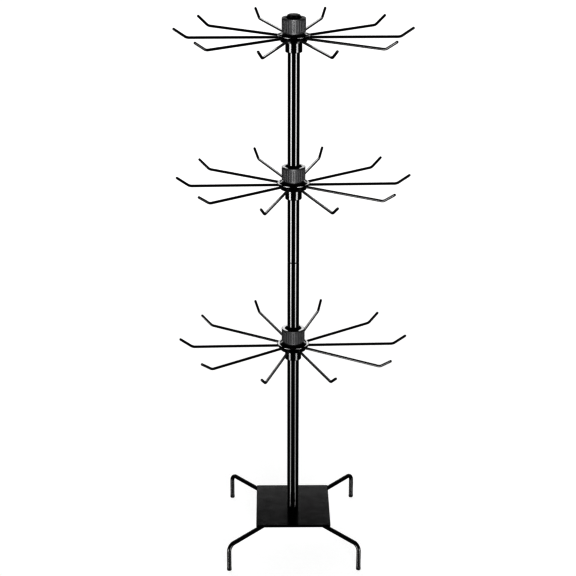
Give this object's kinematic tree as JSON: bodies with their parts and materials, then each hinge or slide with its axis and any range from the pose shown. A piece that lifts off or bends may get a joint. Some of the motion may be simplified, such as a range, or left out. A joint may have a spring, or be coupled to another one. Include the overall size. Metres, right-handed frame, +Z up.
{
  "type": "rotating display rack",
  "caption": "Countertop rotating display rack: tiers of upturned wire hooks turn freely on hubs clamped by knurled nuts to a two-piece pole on a flat plate with bent rod legs.",
  "frame": {"origin": "on the floor, under the middle of the pole, level with the undersides of the four foot caps", "axes": "+X to the right and +Y to the back of the base plate, +Z up along the pole"},
  "size_m": [0.3028, 0.2914, 0.7235],
  "materials": {
    "gloss_black_coat": "gloss",
    "satin_black_coat": "satin",
    "nut_moulding": "satin",
    "black_moulding": "satin",
    "black_rubber": "matte",
    "zinc_plate": "zinc plated"
  },
  "bodies": {
    "stand": {"base_plate": "satin_black_coat", "leg_front_left": "gloss_black_coat", "leg_front_right": "gloss_black_coat", "leg_rear_left": "gloss_black_coat", "leg_rear_right": "gloss_black_coat", "leg_welds": "satin_black_coat", "foot_cap_front_left": "black_rubber", "foot_cap_front_right": "black_rubber", "foot_cap_rear_left": "black_rubber", "foot_cap_rear_right": "black_rubber", "base_bolt": "zinc_plate", "base_washer": "zinc_plate", "pole_plug": "zinc_plate", "lower_pole": "gloss_black_coat", "pole_joiner": "zinc_plate", "upper_pole": "gloss_black_coat", "pole_cap": "black_moulding"},
    "top_hub": {"top_sleeve": "black_moulding", "top_washer": "black_moulding"},
    "top_tier": {"top_disc": "gloss_black_coat", "top_hooks": "gloss_black_coat"},
    "top_wedge": {"top_ferrule": "black_moulding"},
    "top_knob": {"top_nut": "nut_moulding"},
    "middle_hub": {"middle_sleeve": "black_moulding", "middle_washer": "black_moulding"},
    "middle_tier": {"middle_disc": "gloss_black_coat", "middle_hooks": "gloss_black_coat"},
    "middle_wedge": {"middle_ferrule": "black_moulding"},
    "middle_knob": {"middle_nut": "nut_moulding"},
    "bottom_hub": {"bottom_sleeve": "black_moulding", "bottom_washer": "black_moulding"},
    "bottom_tier": {"bottom_disc": "gloss_black_coat", "bottom_hooks": "gloss_black_coat"},
    "bottom_wedge": {"bottom_ferrule": "black_moulding"},
    "bottom_knob": {"bottom_nut": "nut_moulding"}
  },
  "joints": [
    {"name": "top_height", "type": "slide", "parent": "stand", "child": "top_hub", "axis": [0, 0, 1], "range_m": [-0.07, 0]},
    {"name": "top_spin", "type": "hinge", "parent": "top_hub", "child": "top_tier", "pos_m": [0, 0, 0.695], "axis": [0, 0, 1], "continuous": true},
    {"name": "top_wedge_lift", "type": "slide", "parent": "top_hub", "child": "top_wedge", "axis": [0, 0, 1], "range_m": [0, 0.002]},
    {"name": "top_nut_turn", "type": "hinge", "parent": "top_wedge", "child": "top_knob", "pos_m": [0, 0, 0.71], "axis": [0, 0, 1], "range_deg": [0, 360]},
    {"name": "middle_height", "type": "slide", "parent": "stand", "child": "middle_hub", "axis": [0, 0, 1], "range_m": [-0.06, 0.06]},
    {"name": "middle_spin", "type": "hinge", "parent": "middle_hub", "child": "middle_tier", "pos_m": [0, 0, 0.503], "axis": [0, 0, 1], "continuous": true},
    {"name": "middle_wedge_lift", "type": "slide", "parent": "middle_hub", "child": "middle_wedge", "axis": [0, 0, 1], "range_m": [0, 0.002]},
    {"name": "middle_nut_turn", "type": "hinge", "parent": "middle_wedge", "child": "middle_knob", "pos_m": [0, 0, 0.518], "axis": [0, 0, 1], "range_deg": [0, 360]},
    {"name": "bottom_height", "type": "slide", "parent": "stand", "child": "bottom_hub", "axis": [0, 0, 1], "range_m": [-0.17, 0.06]},
    {"name": "bottom_spin", "type": "hinge", "parent": "bottom_hub", "child": "bottom_tier", "pos_m": [0, 0, 0.28], "axis": [0, 0, 1], "continuous": true},
    {"name": "bottom_wedge_lift", "type": "slide", "parent": "bottom_hub", "child": "bottom_wedge", "axis": [0, 0, 1], "range_m": [0, 0.002]},
    {"name": "bottom_nut_turn", "type": "hinge", "parent": "bottom_wedge", "child": "bottom_knob", "pos_m": [0, 0, 0.295], "axis": [0, 0, 1], "range_deg": [0, 360]}
  ],
  "couplings": [
    {"joint": "top_nut_turn", "follows": "top_wedge_lift", "rad_per_m": 3141.6},
    {"joint": "middle_nut_turn", "follows": "middle_wedge_lift", "rad_per_m": 3141.6},
    {"joint": "bottom_nut_turn", "follows": "bottom_wedge_lift", "rad_per_m": 3141.6}
  ]
}
